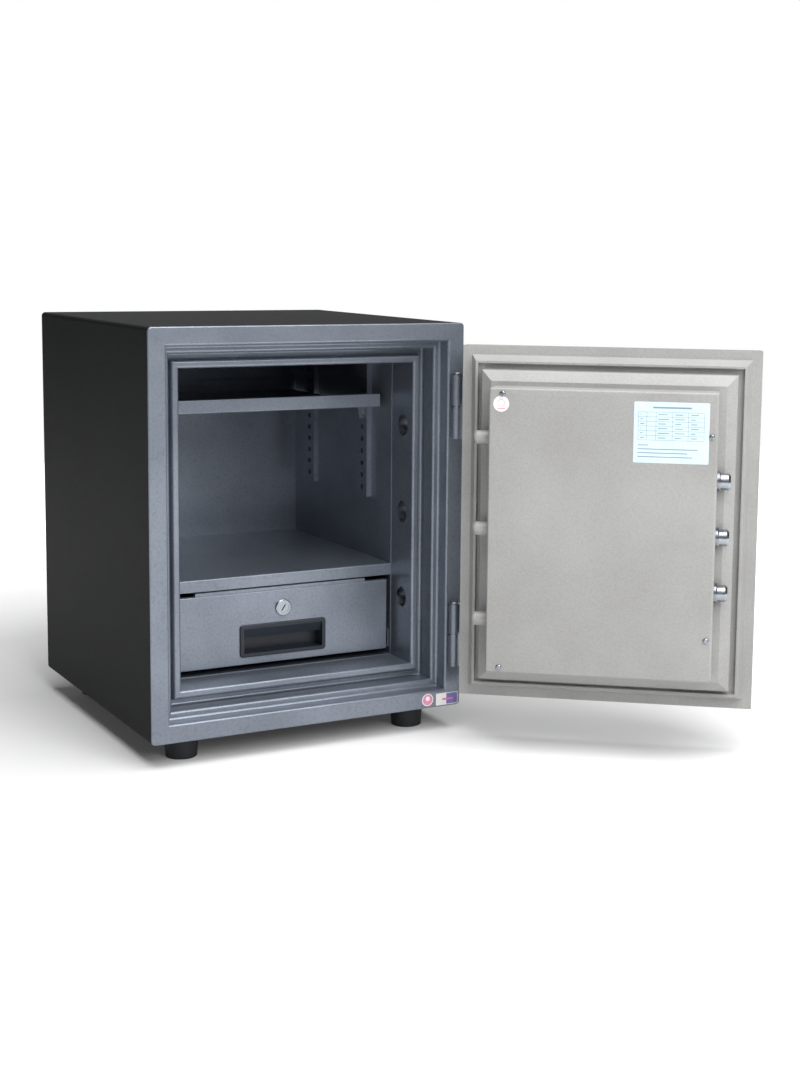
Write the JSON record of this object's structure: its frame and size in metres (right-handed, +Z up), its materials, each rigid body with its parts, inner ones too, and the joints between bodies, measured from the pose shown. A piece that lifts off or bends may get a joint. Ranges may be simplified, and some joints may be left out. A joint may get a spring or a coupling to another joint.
{
  "type": "fire-resistant safe",
  "caption": "Small fire-resistant safe with a thick hinged door standing open, stepped frame, sliding bolts, a shelf and a lockable drawer, on rubber feet.",
  "frame": {"origin": "on the floor under the middle of the steel body, level with the undersides of the four feet", "axes": "+X to the safe's right as seen from the front, +Y to the back, +Z up"},
  "size_m": [0.6829, 0.7052, 0.518],
  "materials": {
    "shell_paint": "dark charcoal textured enamel",
    "frame_paint": "grey hammertone enamel, semi-gloss",
    "door_paint": "taupe textured enamel, satin",
    "mineral_fill": "cast mineral fill",
    "zinc_steel": "bright zinc plate",
    "bolt_chrome": "chrome plate",
    "black_plastic": "moulded, satin",
    "brass": "machined",
    "foot_rubber": "moulded"
  },
  "bodies": {
    "body": {"back_panel": "shell_paint", "body_fill": "mineral_fill", "body_knuckle_lower": "frame_paint", "body_knuckle_upper": "frame_paint", "bolt_sockets": "frame_paint", "cavity_liner": "frame_paint", "drawer_runner_left": "frame_paint", "drawer_runner_right": "frame_paint", "fixed_shelf": "frame_paint", "foot_bolts": "zinc_steel", "foot_front_left": "foot_rubber", "foot_front_right": "foot_rubber", "foot_rear_left": "foot_rubber", "foot_rear_right": "foot_rubber", "front_frame": "frame_paint", "hinge_pin_lower": "zinc_steel", "hinge_pin_upper": "zinc_steel", "hinge_washers": "zinc_steel", "outer_shell": "shell_paint", "pilaster_front_left": "frame_paint", "pilaster_front_right": "frame_paint", "pilaster_rear_left": "frame_paint", "pilaster_rear_right": "frame_paint", "shelf_clips": "zinc_steel", "stud_sockets": "frame_paint", "upper_shelf": "frame_paint"},
    "drawer": {"drawer_tray": "frame_paint", "drawer_front": "frame_paint", "drawer_pull": "black_plastic", "drawer_lock_body": "bolt_chrome", "drawer_lock_nut": "zinc_steel"},
    "drawer_lock": {"drawer_lock_plug": "bolt_chrome", "drawer_lock_cam": "zinc_steel"},
    "door": {"door_plate": "door_paint", "door_liner": "door_paint", "door_fill": "mineral_fill", "door_knuckle_lower": "door_paint", "door_knuckle_upper": "door_paint", "lock_cover": "door_paint", "cover_posts": "zinc_steel", "cover_screws": "bolt_chrome", "fixed_studs": "door_paint", "stud_rail": "zinc_steel", "bolt_guide": "zinc_steel", "bolt_bushes": "zinc_steel", "handle_rosette": "bolt_chrome", "dial_ring": "bolt_chrome", "lock_case": "zinc_steel", "key_barrel": "bolt_chrome"},
    "bolts": {"live_bolt_lower": "bolt_chrome", "live_bolt_middle": "bolt_chrome", "live_bolt_upper": "bolt_chrome", "bolt_carriage": "zinc_steel"},
    "handle": {"lever_handle": "bolt_chrome", "handle_spindle": "zinc_steel", "drive_crank": "zinc_steel"},
    "dial": {"combination_dial": "black_plastic", "dial_spindle": "zinc_steel"},
    "tongue": {"lock_tongue": "brass"},
    "key": {"key_plug": "brass"}
  },
  "joints": [
    {"name": "door_hinge", "type": "hinge", "parent": "body", "child": "door", "pos_m": [0.1925, -0.218, 0.274], "axis": [0, 0, 1], "range_deg": [-141, 39]},
    {"name": "handle_turn", "type": "hinge", "parent": "door", "child": "handle", "pos_m": [0.39239, -0.36443, 0.245], "axis": [-0.6293, -0.7771, 0], "range_deg": [0, 80]},
    {"name": "bolt_slide", "type": "slide", "parent": "door", "child": "bolts", "axis": [0.7771, -0.6293, 0], "range_m": [0, 0.02]},
    {"name": "dial_turn", "type": "hinge", "parent": "door", "child": "dial", "pos_m": [0.34965, -0.32982, 0.33], "axis": [-0.6293, -0.7771, 0], "continuous": true},
    {"name": "tongue_slide", "type": "slide", "parent": "door", "child": "tongue", "axis": [0, 0, -1], "range_m": [0, 0.007]},
    {"name": "key_turn", "type": "hinge", "parent": "door", "child": "key", "pos_m": [0.37981, -0.37997, 0.316], "axis": [-0.6293, -0.7771, 0], "range_deg": [0, 90]},
    {"name": "drawer_slide", "type": "slide", "parent": "body", "child": "drawer", "axis": [0, -1, 0], "range_m": [0, 0.2]},
    {"name": "drawer_lock_turn", "type": "hinge", "parent": "drawer", "child": "drawer_lock", "pos_m": [0, -0.119, 0.15877], "axis": [0, -1, 0], "range_deg": [0, 90]}
  ],
  "couplings": [
    {"joint": "bolt_slide", "follows": "handle_turn", "m_per_rad": 0.014323}
  ]
}
